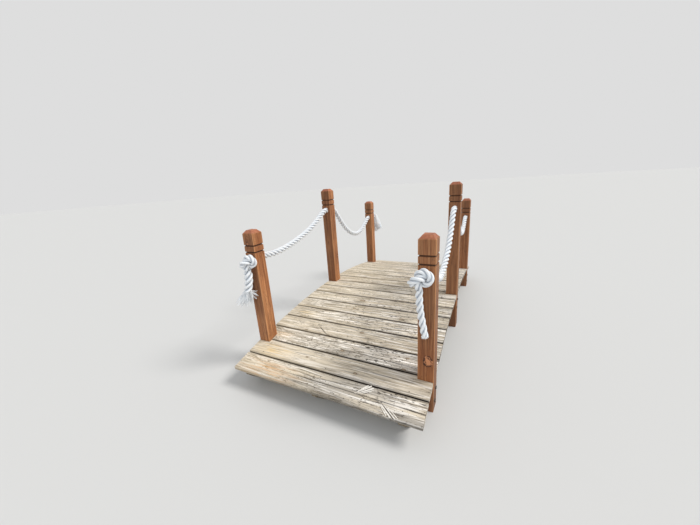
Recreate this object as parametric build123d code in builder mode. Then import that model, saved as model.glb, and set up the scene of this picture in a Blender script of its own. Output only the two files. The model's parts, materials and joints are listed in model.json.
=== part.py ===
"""Arched garden footbridge with six grooved cedar posts and a rope handrail on each side.

Millimetres. X runs across the deck, Y along the bridge, Z up.
The origin is on the ground under the middle of the deck.
"""

import os
from math import cos, degrees, pi, radians, sin, sqrt, tan

from build123d import *

# Deck boards
board_count = 18
board_width = 140.0
board_thickness = 25.0
board_gap = 8.0
board_edge_radius = 4.0
deck_width = 1246.0
deck_radius = 5425.0  # of the walking surface, at the middle of each board
deck_end_height = 140.0  # of the walking surface where the deck starts

# Posts
post_width = 89.0
post_edge_radius = 4.0
post_proud = 2.0  # beyond the ends of the boards
post_inset = 1012.5  # from the middle of the bridge to an end post's axis
end_post_height = 1010.0
middle_post_height = 1219.0
cap_bevel = 20.0
cap_height = 22.0
groove_drops = (124.5, 80.0)  # below the shoulder of the cap
groove_depth = 6.0
groove_width = 12.0
hole_drop = 173.0  # rope hole below the shoulder of the cap
notch_clearance = 1.5

# Frame under the deck
stringer_thickness = 38.0
stringer_setback = 20.0  # from the first board's front edge
stringer_nose = 20.0
stringer_end_cut = 100.0  # how far the sloping end runs back to the foot
stringer_foot = 145.0
stringer_depth = 138.0  # at the middle of the bridge
seat_gap = 0.2
block_thickness = 38.0
block_height = 89.0
block_lift = 8.0
end_block_setback = 25.0  # of its middle, from the end of the stringers' feet
middle_block_top_gap = 20.0

# Rope
rope_diameter = 38.0
rope_clearance = 0.5  # round the rope in a post
knot_width = 136.0
knot_reach = 92.0  # from the post's face to the front of the knot
knot_front_radius = 44.0
knot_back_radius = 14.0
knot_gap = 0.3
tail_drop = 60.0  # from the hole's axis to the flat where a tail leaves its knot

# Worked out from the sizes above
board_pitch = board_width + board_gap
deck_angle = degrees(board_count * board_pitch / deck_radius)
board_angle = deck_angle / board_count
deck_half_length = deck_radius * sin(radians(deck_angle / 2))
deck_rise = deck_radius * (1 - cos(radians(deck_angle / 2)))
arch_centre_z = deck_end_height + deck_rise - deck_radius
post_x = deck_width / 2 + post_proud - post_width / 2
stringer_x = post_x - post_width / 2 - stringer_thickness / 2
stringer_half_length = deck_half_length - stringer_setback
foot_end_y = stringer_half_length - stringer_end_cut
end_hole_z = end_post_height - cap_height - hole_drop
middle_hole_z = middle_post_height - cap_height - hole_drop

sides = {"left": -1, "right": 1}
stations = {"near": -post_inset, "mid": 0.0, "far": post_inset}

# Rope routes: the distance along the bridge and the height of each point
near_span_left = [
    (-post_inset, end_hole_z),
    (-post_inset + 56, end_hole_z),
    (-post_inset + 118, end_hole_z - 9),
    (-post_inset + 206, end_hole_z - 13),
    (-post_inset + 318, end_hole_z - 4),
    (-post_inset + 448, end_hole_z + 19),
    (-post_inset + 588, end_hole_z + 53),
    (-post_inset + 724, end_hole_z + 101),
    (-180, middle_hole_z - 53),
    (-120, middle_hole_z - 19),
    (-70, middle_hole_z),
]
far_span_left = [
    (70, middle_hole_z),
    (120, middle_hole_z - 26),
    (166, middle_hole_z - 78),
    (228, middle_hole_z - 148),
    (302, middle_hole_z - 220),
    (392, middle_hole_z - 284),
    (492, middle_hole_z - 330),
    (602, middle_hole_z - 352),
    (702, middle_hole_z - 340),
    (788, middle_hole_z - 307),
    (864, middle_hole_z - 263),
    (post_inset - 68, end_hole_z),
    (post_inset, end_hole_z),
]
near_span_right = [
    (-post_inset, end_hole_z),
    (-post_inset + 66, end_hole_z),
    (-post_inset + 126, end_hole_z - 29),
    (-post_inset + 184, end_hole_z - 82),
    (-post_inset + 250, end_hole_z - 128),
    (-post_inset + 350, end_hole_z - 154),
    (-post_inset + 460, end_hole_z - 144),
    (-post_inset + 576, end_hole_z - 104),
    (-post_inset + 686, end_hole_z - 42),
    (-post_inset + 778, end_hole_z + 40),
    (-post_inset + 842, end_hole_z + 116),
    (-120, middle_hole_z - 28),
    (-70, middle_hole_z),
]
far_span_right = [
    (70, middle_hole_z),
    (120, middle_hole_z - 27),
    (168, middle_hole_z - 77),
    (238, middle_hole_z - 145),
    (322, middle_hole_z - 213),
    (420, middle_hole_z - 272),
    (530, middle_hole_z - 312),
    (640, middle_hole_z - 326),
    (742, middle_hole_z - 314),
    (828, middle_hole_z - 278),
    (892, middle_hole_z - 236),
    (post_inset - 64, end_hole_z),
    (post_inset, end_hole_z),
]

# Middle of each knot: across and up from the hole's axis
knot_centres = {
    ("left", "near"): (20, -14),
    ("right", "near"): (-18, -14),
    ("left", "far"): (-12, -20),
    ("right", "far"): (-10, -12),
}
# Tail routes: across, outward from the post's face and up from the hole's axis
tail_routes = {
    ("left", "near"): [(-4, 42, -tail_drop), (-4, 42, -108), (-14, 43, -160), (-29, 45, -208), (-46, 48, -254)],
    ("right", "near"): [(-28, 38, -tail_drop), (-28, 38, -122), (-24, 31, -190), (-13, 28, -256), (0, 30, -322)],
    ("left", "far"): [(10, 42, -tail_drop), (10, 42, -102), (25, 46, -142), (46, 50, -180)],
    ("right", "far"): [(-16, 40, -tail_drop), (-16, 40, -120), (-10, 33, -182), (0, 31, -244), (6, 34, -304)],
}


def corner_radii(points):
    """The largest arcs that the runs of a rope's route leave room for."""
    radii = []
    for before, corner, after in zip(points, points[1:], points[2:]):
        first = Vector(*corner) - Vector(*before)
        second = Vector(*after) - Vector(*corner)
        turn = radians(first.get_angle(second))
        radii.append(0.45 * min(first.length, second.length) / tan(turn / 2))
    return radii


def rope_along(points, label):
    """A plain round tube along straight runs joined by tangent arcs."""
    radii = corner_radii(points)
    with BuildPart() as rope:
        with BuildLine() as route:
            FilletPolyline(*points, radius=radii)
        with BuildSketch(Plane(origin=route.line @ 0, z_dir=route.line % 0)):
            Circle(rope_diameter / 2)
        sweep()
    length = sum(edge.length for edge in route.edges())
    section = pi * rope_diameter**2 / 4
    print(
        f"{label}: length {length:.0f}, smallest arc {min(radii):.0f},"
        f" volume over section times length {rope.part.volume / (section * length):.4f}"
    )
    rope.part.label = label
    return rope.part


def deck_board(number):
    """One crosswise board, numbered from the near end, notched round any post it meets."""
    angle = (number - (board_count + 1) / 2) * board_angle
    with BuildPart() as board:
        seat = Plane(
            origin=(0, deck_radius * sin(radians(angle)), arch_centre_z + deck_radius * cos(radians(angle))),
            x_dir=(1, 0, 0),
            z_dir=(0, sin(radians(angle)), cos(radians(angle))),
        )
        with BuildSketch(seat):
            Rectangle(deck_width, board_width)
        extrude(amount=-board_thickness)
        long_edges = board.edges().filter_by(Axis.X)
        fillet(long_edges, board_edge_radius)
        notch = post_width + 2 * notch_clearance
        with Locations(*[(side * post_x, y, middle_hole_z / 2) for side in sides.values() for y in stations.values()]):
            Box(notch, notch, middle_hole_z, mode=Mode.SUBTRACT)
    board.part.label = f"deck_board_{number:02d}"
    return board.part


def post(side, station):
    """A square post with a bevelled cap, two grooves round its head and a hole for the rope."""
    height = middle_post_height if station == "mid" else end_post_height
    shoulder = height - cap_height
    x = sides[side] * post_x
    y = stations[station]
    waist = post_width - 2 * groove_depth
    sections = [(0, post_width)]
    for drop in groove_drops:
        centre = shoulder - drop
        sections += [
            (centre - groove_width / 2, post_width),
            (centre, waist),
            (centre + groove_width / 2, post_width),
        ]
    sections += [(shoulder, post_width), (height, post_width - 2 * cap_bevel)]
    with BuildPart() as timber:
        for z, width in sections:
            with BuildSketch(Plane.XY.offset(z).shift_origin((x, y, z))):
                RectangleRounded(width, width, post_edge_radius * width / post_width)
        loft(ruled=True)
        with Locations(Plane(origin=(x, y, shoulder - hole_drop), z_dir=(0, 1, 0))):
            Cylinder(rope_diameter / 2 + rope_clearance, 2 * post_width, mode=Mode.SUBTRACT)
    timber.part.label = f"post_{side}_{station}"
    return timber.part


def stringer(name, x):
    """A plank on edge with sloping ends, arched above to carry the deck and below between two level feet."""
    seat_radius = deck_radius - board_thickness - seat_gap
    top_end_z = arch_centre_z + sqrt(seat_radius**2 - stringer_half_length**2)
    top_middle_z = arch_centre_z + seat_radius
    foot_start_y = foot_end_y - stringer_foot
    with BuildPart() as plank:
        with BuildSketch(Plane(origin=(x - stringer_thickness / 2, 0, 0), x_dir=(0, 1, 0), z_dir=(1, 0, 0))):
            with BuildLine():
                ThreePointArc((-stringer_half_length, top_end_z), (0, top_middle_z), (stringer_half_length, top_end_z))
                Polyline(
                    (stringer_half_length, top_end_z),
                    (stringer_half_length, top_end_z - stringer_nose),
                    (foot_end_y, 0),
                    (foot_start_y, 0),
                )
                ThreePointArc((foot_start_y, 0), (0, top_middle_z - stringer_depth), (-foot_start_y, 0))
                Polyline(
                    (-foot_start_y, 0),
                    (-foot_end_y, 0),
                    (-stringer_half_length, top_end_z - stringer_nose),
                    (-stringer_half_length, top_end_z),
                )
            make_face()
        extrude(amount=stringer_thickness)
    plank.part.label = name
    return plank.part


def block(name, side, y, bottom):
    """A short cross block between the middle stringer and an outer one."""
    inner = stringer_thickness / 2
    outer = stringer_x - stringer_thickness / 2
    with BuildPart() as piece:
        with Locations((side * (inner + outer) / 2, y, bottom + block_height / 2)):
            Box(outer - inner, block_thickness, block_height)
    piece.part.label = name
    return piece.part


def knot(side, station):
    """The round outer shape of an overhand knot against the post, with the rope's neck in the hole."""
    outward = -1 if station == "near" else 1
    across, up = knot_centres[side, station]
    x = sides[side] * post_x
    face_y = stations[station] + outward * post_width / 2
    back = (x + across, face_y + outward * knot_gap, end_hole_z + up)
    with BuildPart() as bun:
        with BuildSketch(Plane(origin=back, z_dir=(0, outward, 0))):
            Circle(knot_width / 2)
        extrude(amount=knot_reach - knot_gap)
        rims = bun.edges().filter_by(GeomType.CIRCLE).sort_by(Axis.Y, reverse=station == "near")
        fillet(rims[-1], knot_front_radius)
        fillet(rims[0], knot_back_radius)
        with Locations((back[0], back[1], end_hole_z - tail_drop - knot_width / 2)):
            Box(2 * knot_width, 3 * knot_width, knot_width, mode=Mode.SUBTRACT)
        with BuildSketch(Plane(origin=(x, stations[station], end_hole_z), z_dir=(0, outward, 0))):
            Circle(rope_diameter / 2)
        extrude(amount=post_width / 2 + knot_reach / 2)
    bun.part.label = f"knot_{side}_{station}"
    return bun.part


def tail(side, station):
    """The free end of the rope hanging from its knot."""
    outward = -1 if station == "near" else 1
    face_y = stations[station] + outward * post_width / 2
    points = [
        (sides[side] * post_x + across, face_y + outward * out, end_hole_z + up)
        for across, out, up in tail_routes[side, station]
    ]
    return rope_along(points, f"rope_tail_{side}_{station}")


pieces = [deck_board(number + 1) for number in range(board_count)]
pieces += [post(side, station) for side in sides for station in stations]
pieces += [
    stringer("stringer_left", -stringer_x),
    stringer("stringer_middle", 0),
    stringer("stringer_right", stringer_x),
]

end_block_y = foot_end_y - end_block_setback
middle_block_bottom = arch_centre_z + deck_radius - board_thickness - middle_block_top_gap - block_height
for side, sign in sides.items():
    pieces.append(block(f"block_{side}_near", sign, -end_block_y, block_lift))
    pieces.append(block(f"block_{side}_mid", sign, 0, middle_block_bottom))
    pieces.append(block(f"block_{side}_far", sign, end_block_y, block_lift))

rope_routes = {"left": near_span_left + far_span_left, "right": near_span_right + far_span_right}
for side, sign in sides.items():
    route = [(sign * post_x, y, z) for y, z in rope_routes[side]]
    pieces.append(rope_along(route, f"rope_{side}"))
    for station in ("near", "far"):
        pieces.append(knot(side, station))
        pieces.append(tail(side, station))

os.makedirs("parts", exist_ok=True)
for piece in pieces:
    export_step(piece, f"parts/{piece.label}.step")
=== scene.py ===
"""Arched garden footbridge: weathered pine boards, stained cedar posts and a white rope rail on each side.

Metres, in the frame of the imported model: X runs across the deck, Y along the bridge, Z up.
"""

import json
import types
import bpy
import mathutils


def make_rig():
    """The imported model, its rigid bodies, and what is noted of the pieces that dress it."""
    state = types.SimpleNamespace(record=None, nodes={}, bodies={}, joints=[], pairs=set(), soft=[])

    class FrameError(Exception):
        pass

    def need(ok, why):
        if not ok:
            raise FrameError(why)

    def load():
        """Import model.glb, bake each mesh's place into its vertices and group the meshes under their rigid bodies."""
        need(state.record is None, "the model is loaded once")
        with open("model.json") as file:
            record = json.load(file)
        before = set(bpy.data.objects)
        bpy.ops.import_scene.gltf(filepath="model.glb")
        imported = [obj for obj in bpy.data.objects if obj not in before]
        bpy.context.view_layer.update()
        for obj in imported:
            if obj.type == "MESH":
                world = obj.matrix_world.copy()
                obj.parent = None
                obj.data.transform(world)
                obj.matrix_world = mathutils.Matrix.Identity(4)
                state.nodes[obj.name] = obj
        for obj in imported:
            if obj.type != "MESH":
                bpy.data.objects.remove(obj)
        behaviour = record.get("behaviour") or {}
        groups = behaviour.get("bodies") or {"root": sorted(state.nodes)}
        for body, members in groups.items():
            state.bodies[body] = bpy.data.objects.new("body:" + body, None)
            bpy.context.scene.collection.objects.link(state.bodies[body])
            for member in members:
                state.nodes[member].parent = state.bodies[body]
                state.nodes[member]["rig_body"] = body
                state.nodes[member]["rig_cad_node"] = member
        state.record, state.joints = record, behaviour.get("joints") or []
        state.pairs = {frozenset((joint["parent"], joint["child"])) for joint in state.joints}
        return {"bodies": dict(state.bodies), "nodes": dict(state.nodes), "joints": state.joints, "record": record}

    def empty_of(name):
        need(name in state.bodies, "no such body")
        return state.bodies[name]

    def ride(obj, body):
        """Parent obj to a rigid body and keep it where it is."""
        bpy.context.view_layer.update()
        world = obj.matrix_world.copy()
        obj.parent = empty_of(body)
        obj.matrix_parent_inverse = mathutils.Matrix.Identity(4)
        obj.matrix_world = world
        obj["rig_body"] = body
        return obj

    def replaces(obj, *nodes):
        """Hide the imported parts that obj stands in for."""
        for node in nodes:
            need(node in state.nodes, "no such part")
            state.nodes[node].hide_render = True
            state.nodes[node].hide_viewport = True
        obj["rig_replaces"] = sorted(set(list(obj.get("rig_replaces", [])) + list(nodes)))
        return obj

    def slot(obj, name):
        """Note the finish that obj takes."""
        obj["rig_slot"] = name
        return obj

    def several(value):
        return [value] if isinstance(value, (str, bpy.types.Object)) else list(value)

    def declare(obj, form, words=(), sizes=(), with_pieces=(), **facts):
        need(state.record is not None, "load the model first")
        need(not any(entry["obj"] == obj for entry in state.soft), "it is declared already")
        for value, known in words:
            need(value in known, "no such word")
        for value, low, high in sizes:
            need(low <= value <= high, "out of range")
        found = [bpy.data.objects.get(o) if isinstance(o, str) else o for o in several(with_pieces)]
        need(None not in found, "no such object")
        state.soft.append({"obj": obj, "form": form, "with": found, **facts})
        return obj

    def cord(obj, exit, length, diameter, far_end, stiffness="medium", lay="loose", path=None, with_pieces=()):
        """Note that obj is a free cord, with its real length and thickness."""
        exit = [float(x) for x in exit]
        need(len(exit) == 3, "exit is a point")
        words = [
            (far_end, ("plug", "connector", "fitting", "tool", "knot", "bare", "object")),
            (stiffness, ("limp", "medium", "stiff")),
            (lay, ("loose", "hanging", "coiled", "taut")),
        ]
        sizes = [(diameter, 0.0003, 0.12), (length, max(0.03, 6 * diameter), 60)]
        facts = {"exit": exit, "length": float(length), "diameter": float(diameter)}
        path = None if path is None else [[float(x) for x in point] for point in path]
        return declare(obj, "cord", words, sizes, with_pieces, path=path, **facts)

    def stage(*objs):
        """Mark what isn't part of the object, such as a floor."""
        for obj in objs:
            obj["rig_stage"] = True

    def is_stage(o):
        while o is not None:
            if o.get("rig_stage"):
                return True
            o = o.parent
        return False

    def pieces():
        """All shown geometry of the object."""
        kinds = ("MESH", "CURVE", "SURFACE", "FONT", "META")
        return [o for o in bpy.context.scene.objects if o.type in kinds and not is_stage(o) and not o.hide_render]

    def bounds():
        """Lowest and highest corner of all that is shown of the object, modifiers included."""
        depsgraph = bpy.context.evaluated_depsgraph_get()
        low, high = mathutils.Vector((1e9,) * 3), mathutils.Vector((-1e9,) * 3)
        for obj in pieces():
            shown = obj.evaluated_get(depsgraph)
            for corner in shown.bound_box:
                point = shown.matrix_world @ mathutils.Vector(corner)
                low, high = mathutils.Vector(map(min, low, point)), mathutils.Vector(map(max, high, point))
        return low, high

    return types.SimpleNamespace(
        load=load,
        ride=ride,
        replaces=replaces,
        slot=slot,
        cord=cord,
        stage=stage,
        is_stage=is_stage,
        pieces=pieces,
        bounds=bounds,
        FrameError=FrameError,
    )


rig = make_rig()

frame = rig.load()
cad_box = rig.bounds()

import json
from math import cos, pi, radians, sin
from random import Random

import bmesh
import bpy
import numpy as np
from mathutils import Matrix, Vector, noise

# Sizes of the deck
board_count = 18
board_width = 0.140
board_thickness = 0.025
board_pitch = 0.148
board_arris = 0.0042
deck_width = 1.246
deck_radius = 5.425
arch_centre_z = -5.1223
notched_boards = (2, 3, 9, 10, 16, 17)
notch_width = 0.092

# Sizes of the posts
post_width = 0.089
post_x = 0.5805
post_inset = 1.0125
end_post_height = 1.010
middle_post_height = 1.219
post_arris = 0.0045
cap_bevel = 0.020
cap_height = 0.022
groove_drops = (0.1245, 0.080)
groove_depth = 0.006
groove_width = 0.012
groove_floor = 0.0024
lit_arris_width = 0.0042
hole_drop = 0.173
hole_diameter = 0.039

# Sizes of the rope
rope_diameter = 0.038
span_diameters = {"left": 0.0480, "right": 0.0425}  # the lay opens where a rope hangs free
knot_diameters = {"left": 0.0420, "right": 0.0380}
lay_length = 0.120
knot_reach = 0.092
tail_drop = 0.060
swollen_strand = 1.36  # beside a laid one, where a tail comes apart
cord_tail_length = 6 * rope_diameter  # a shorter tail isn't a cord of its own

# Screws and bolts
screw_lines = (-0.512, -0.004, 0.512)
screw_rows = (-0.043, 0.043)
screw_sunk = 0.0016
bolt_heights = {"near": (0.062, 0.124), "mid": (0.180, 0.242), "far": (0.062, 0.124)}
bolt_slips = (-0.016, 0.016)

end_hole_z = end_post_height - cap_height - hole_drop
middle_hole_z = middle_post_height - cap_height - hole_drop
sides = {"left": -1, "right": 1}
stations = {"near": -post_inset, "mid": 0.0, "far": post_inset}


def route_from(y, z, steps):
    """Points of a rope's route, given along the bridge and up from one place."""
    return [(y + along, z + up) for along, up in steps]


# Each rope's route from the near post, through the middle post's hole, to the far post
rope_routes = {
    "left": route_from(-post_inset, end_hole_z, [
        (0.0, 0.0), (0.056, 0.0), (0.118, -0.009), (0.206, -0.013), (0.318, -0.004), (0.448, 0.019),
        (0.588, 0.053), (0.724, 0.101),
    ]) + route_from(0.0, middle_hole_z, [
        (-0.180, -0.053), (-0.120, -0.019), (-0.070, 0.0), (0.070, 0.0), (0.120, -0.026), (0.166, -0.078),
        (0.228, -0.148), (0.302, -0.220), (0.392, -0.284), (0.492, -0.330), (0.602, -0.352), (0.702, -0.340),
        (0.788, -0.307), (0.864, -0.263),
    ]) + route_from(post_inset, end_hole_z, [(-0.068, 0.0), (0.0, 0.0)]),
    "right": route_from(-post_inset, end_hole_z, [
        (0.0, 0.0), (0.066, 0.0), (0.126, -0.029), (0.184, -0.082), (0.250, -0.128), (0.350, -0.154),
        (0.460, -0.144), (0.576, -0.104), (0.686, -0.042), (0.778, 0.040), (0.842, 0.116),
    ]) + route_from(0.0, middle_hole_z, [
        (-0.120, -0.028), (-0.070, 0.0), (0.070, 0.0), (0.120, -0.027), (0.168, -0.077), (0.238, -0.145),
        (0.322, -0.213), (0.420, -0.272), (0.530, -0.312), (0.640, -0.326), (0.742, -0.314), (0.828, -0.278),
        (0.892, -0.236),
    ]) + route_from(post_inset, end_hole_z, [(-0.064, 0.0), (0.0, 0.0)]),
}
# Tail routes: across, outward from the post's face and up from the hole's axis
tail_routes = {
    ("left", "near"): [
        (-0.004, 0.042, -tail_drop), (-0.004, 0.042, -0.108), (-0.014, 0.043, -0.160),
        (-0.029, 0.045, -0.208), (-0.046, 0.048, -0.254),
    ],
    ("right", "near"): [
        (-0.028, 0.038, -tail_drop), (-0.028, 0.038, -0.122), (-0.024, 0.031, -0.190),
        (-0.013, 0.028, -0.256), (0.0, 0.030, -0.322),
    ],
    ("left", "far"): [
        (0.010, 0.042, -tail_drop), (0.010, 0.042, -0.102), (0.025, 0.046, -0.142), (0.046, 0.050, -0.180),
    ],
    ("right", "far"): [
        (-0.016, 0.040, -tail_drop), (-0.016, 0.040, -0.120), (-0.010, 0.033, -0.182),
        (0.0, 0.031, -0.244), (0.006, 0.034, -0.304),
    ],
}
# Middle of each knot: across and up from the hole's axis
knot_centres = {
    ("left", "near"): (0.020, -0.014), ("right", "near"): (-0.018, -0.014),
    ("left", "far"): (-0.012, -0.020), ("right", "far"): (-0.010, -0.012),
}
# How each knot was tied: how far it is turned on the post's face, how tight its turns lie in diameters,
# and how far it is slid across and up once drawn tight
knot_ties = {
    ("left", "near"): (1.05, 0.82, 0.016, 0.002), ("right", "near"): (1.05, 0.88, 0.006, -0.008),
    ("left", "far"): (1.05, 0.82, 0.010, -0.002), ("right", "far"): (0.2, 0.85, 0.0, 0.0),
}
# How far a tail stays laid before its strands come apart, where that isn't to its end
laid_lengths = {("left", "near"): 0.155, ("left", "far"): 0.100}


def tuft(yarns, root, length, splay, waviness, yarn_radius=0.0011, lean=None, start=None):
    """Loose yarns at a rope's end. They lean one way, or else follow the rope. They start across, outward
    and up from the hole, or else at the rope's end."""
    sizes = {"Yarns": yarns, "Root": root, "Length": length, "Splay": splay, "Waviness": waviness}
    return dict(sizes, **{"Yarn Radius": yarn_radius}), lean, start


frayed_ends = {
    ("left", "near"): [
        tuft(90, 0.018, 0.130, 0.010, 0.004, lean=(-0.062, -0.036, -0.098)),
        tuft(90, 0.018, 0.120, 0.010, 0.004, lean=(-0.016, 0.004, -0.100)),
        tuft(60, 0.017, 0.085, 0.014, 0.005, lean=(-0.036, -0.018, -0.095)),
        tuft(7, 0.008, 0.085, 0.010, 0.008, lean=(0.075, 0.020, -0.024)),
        tuft(7, 0.008, 0.090, 0.012, 0.008, lean=(0.070, 0.020, -0.062)),
    ],
    ("left", "far"): [
        tuft(160, 0.020, 0.058, 0.008, 0.004, 0.0022, lean=(0.072, 0.0, -0.095)),
        tuft(240, 0.018, 0.204, 0.018, 0.005, 0.0018, lean=(0.052, 0.0, -0.190), start=(0.044, 0.050, 0.014)),
    ],
    ("right", "near"): [tuft(90, 0.0165, 0.012, 0.002, 0.001)],
    ("right", "far"): [tuft(90, 0.0165, 0.014, 0.003, 0.001)],
}


# Node trees


class Wire:
    """The output of a node. Sums and products of wires add the nodes that work them out."""

    def __init__(self, output):
        self.output = output
        self.tree = output.id_data

    def calc(self, operation, *others):
        """A Math node on this wire and others, or a Vector Math node where it carries a place or a colour."""
        plain = self.output.type in ("VALUE", "INT")
        kind = "ShaderNodeMath" if plain else "ShaderNodeVectorMath"
        result = "Value" if plain or operation in ("LENGTH", "DISTANCE") else "Vector"
        return add(self.tree, kind, result, dict(enumerate((self, *others))), operation=operation)

    def __add__(self, other):
        return self.calc("ADD", other)

    def __sub__(self, other):
        return self.calc("SUBTRACT", other)

    def __mul__(self, other):
        return self.calc("MULTIPLY", other)

    def __truediv__(self, other):
        return self.calc("DIVIDE", other)


def add(tree, kind, outputs, inputs=None, **settings):
    """A node with its settings, and its inputs given or wired: the wire from its output, or several."""
    made = tree.nodes.new(kind)
    for name, value in settings.items():
        setattr(made, name, value)
    for name, value in (inputs or {}).items():
        if isinstance(value, Wire):
            tree.links.new(value.output, made.inputs[name])
        else:
            made.inputs[name].default_value = value
    if isinstance(outputs, tuple):
        return [Wire(made.outputs[name]) for name in outputs]
    return Wire(made.outputs[outputs])


def between(value, low, high, smooth=True):
    """0 below low, 1 above high, and a soft step from one to the other."""
    inputs = {"Value": value, "From Min": low, "From Max": high}
    kind = "SMOOTHSTEP" if smooth else "LINEAR"
    return add(value.tree, "ShaderNodeMapRange", "Result", inputs, interpolation_type=kind)


def cloudy(vector, scale=1.0, detail=2.0, roughness=0.5, output="Fac"):
    """Soft noise between 0 and 1."""
    inputs = {"Vector": vector, "Scale": scale, "Detail": detail, "Roughness": roughness}
    return add(vector.tree, "ShaderNodeTexNoise", output, inputs)


def streaky(grain, along, across, detail=2.0, roughness=0.5):
    """Noise drawn out along the grain: how many features a metre along it and across it."""
    return cloudy(grain * (along, across, across), detail=detail, roughness=roughness)


def blend(share, first, second, mode="MIX"):
    """The first colour, changed by the second as far as the share says."""
    tree = next(value.tree for value in (share, first, second) if isinstance(value, Wire))
    inputs = {0: share, 6: first, 7: second}
    return add(tree, "ShaderNodeMix", 2, inputs, data_type="RGBA", blend_type=mode, clamp_factor=True)


def attribute(tree, name, output="Fac"):
    return add(tree, "ShaderNodeAttribute", output, attribute_name=name)


def place_on(tree):
    return add(tree, "ShaderNodeTexCoord", "Object")


def parts_of(vector):
    return add(vector.tree, "ShaderNodeSeparateXYZ", ("X", "Y", "Z"), {"Vector": vector})


def paint(red, green, blue):
    """A colour given as the eye sees it, 0 to 255."""
    shares = [c / 255 for c in (red, green, blue)]
    return (*[c / 12.92 if c <= 0.04045 else ((c + 0.055) / 1.055) ** 2.4 for c in shares], 1.0)


def new_finish(name):
    finish = bpy.data.materials.new(name)
    finish.use_nodes = True
    return finish, finish.node_tree


def coat(finish, colour, height, depth, settings):
    """Gives a finish its colour, its relief (a height of 0 to 1 over a real depth) and plain settings."""
    tree = finish.node_tree
    shader = tree.nodes["Principled BSDF"]
    normal = add(tree, "ShaderNodeBump", "Normal", {"Height": height, "Distance": depth, "Strength": 1.0})
    tree.links.new(colour.output, shader.inputs["Base Color"])
    tree.links.new(normal.output, shader.inputs["Normal"])
    for name, value in settings.items():
        shader.inputs[name].default_value = value
    return finish


# Wood

# Wood knots: place on the piece and size
deck_knots = [
    (0.025, -0.984, 0.007), (-0.146, -0.881, 0.008), (-0.400, -1.247, 0.005), (-0.416, -1.206, 0.004),
    (0.447, -0.929, 0.006), (0.446, -1.017, 0.006), (-0.340, -0.867, 0.006), (-0.514, -0.969, 0.005),
    (-0.176, -1.100, 0.005), (0.185, -1.126, 0.006), (-0.096, -0.368, 0.012), (-0.109, -0.507, 0.007),
    (0.079, -0.786, 0.008), (0.300, -0.560, 0.009), (-0.300, 0.150, 0.009), (0.240, 0.420, 0.008),
    (-0.420, 0.700, 0.010), (0.120, 0.960, 0.009), (0.380, 1.180, 0.008), (-0.150, 1.230, 0.008),
]
post_knots = [
    (0.591, -1.057, 0.324, 0.026), (0.536, -0.030, 0.700, 0.011), (-0.590, -1.057, 0.921, 0.013),
    (-0.536, 0.020, 0.560, 0.010), (0.625, -0.990, 0.640, 0.014), (-0.625, -1.020, 0.700, 0.015),
    (-0.570, 1.057, 0.420, 0.014), (0.600, 1.057, 0.600, 0.013), (-0.625, 0.010, 0.900, 0.014),
    (0.580, 0.045, 0.560, 0.012), (0.536, 1.010, 0.480, 0.012),
]
# How a wood knot is drawn out: twice as long along a board, and right through it; a third longer up a post
deck_squash = (0.5, 1.0, 0.0)
post_squash = (1.0, 1.0, 0.75)

weathered_tints = {
    "pale": paint(230, 219, 200), "tan": paint(206, 194, 174), "silver": paint(192, 188, 182),
    "late": paint(156, 144, 126), "thread": paint(180, 170, 154), "fibre_dark": (0.76, 0.755, 0.745, 1),
    "bleached": paint(254, 250, 244), "bleaching": 0.78, "sooty": paint(96, 88, 79), "sooting": 0.72,
    "knot": paint(92, 76, 60), "knot_ring": paint(158, 142, 122), "knot_gaps": (0.30, 0.46),
    "crack": paint(46, 38, 31), "silvering": 0.85, "ring_strength": 0.62, "dashing": 0.95, "run": 1.0,
}
cedar_tints = {
    "pale": paint(198, 138, 92), "tan": paint(168, 108, 66), "silver": paint(150, 104, 72),
    "late": paint(112, 60, 33), "thread": paint(144, 88, 51), "fibre_dark": (0.75, 0.71, 0.67, 1),
    "bleached": paint(224, 166, 116), "bleaching": 0.38, "sooty": paint(98, 56, 34), "sooting": 0.42,
    "knot": paint(62, 32, 20), "knot_ring": paint(204, 138, 96), "knot_gaps": (0.24, 0.42),
    "crack": paint(46, 27, 18), "silvering": 0.40, "ring_strength": 0.50, "dashing": 0.40, "run": 0.5,
}
frame_tints = {
    "pale": paint(150, 138, 116), "tan": paint(128, 114, 92), "silver": paint(124, 120, 110),
    "late": paint(94, 80, 62), "thread": paint(112, 100, 80), "fibre_dark": (0.74, 0.72, 0.70, 1),
    "bleached": paint(160, 150, 130), "bleaching": 0.30, "sooty": paint(74, 64, 52), "sooting": 0.60,
    "knot": paint(70, 52, 38), "knot_ring": paint(104, 82, 60), "knot_gaps": (0.30, 0.46),
    "crack": paint(38, 32, 27), "silvering": 0.7, "ring_strength": 0.6, "dashing": 0.5, "run": 1.0,
}


def nearest_knot(tree, knots, squash):
    """Distance to the nearest wood knot, in knot radii, with a ragged edge."""
    place = place_on(tree) * squash
    nearest = None
    for *where, radius in knots:
        centre = [value * share for value, share in zip((*where, 0.0), squash)]
        distance = place.calc("DISTANCE", centre) / radius
        nearest = nearest.calc("MINIMUM", distance) if nearest else distance
    return cloudy(place, scale=60) * 0.9 + (nearest - 0.45)


def wandering(grain):
    """The grain's own places, bent a little, because no timber grows quite straight."""
    drift = cloudy(grain * (1.6, 5.0, 5.0), output="Color") - (0.5, 0.5, 0.5)
    return grain + drift * (0.0, 0.05, 0.05)


def late_wood(grain, bent, knot_distance, ring_width):
    """The dark bands of the growth rings round the pith, which flow round the knots."""
    radius = (bent * (0.0, 1.0, 1.0)).calc("LENGTH")
    flow = (knot_distance * -0.55).calc("EXPONENT")
    rings = radius * (1 / ring_width) + flow * 4.0 + streaky(grain, 3.0, 40.0) * 0.9
    phase = rings.calc("FRACT")
    each = cloudy(bent * (0.4, 90.0, 90.0), detail=0)
    return between(phase, 0.35, 0.88) * between(phase, 1.0, 0.93) * between(each, 0.25, 0.70)


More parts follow.
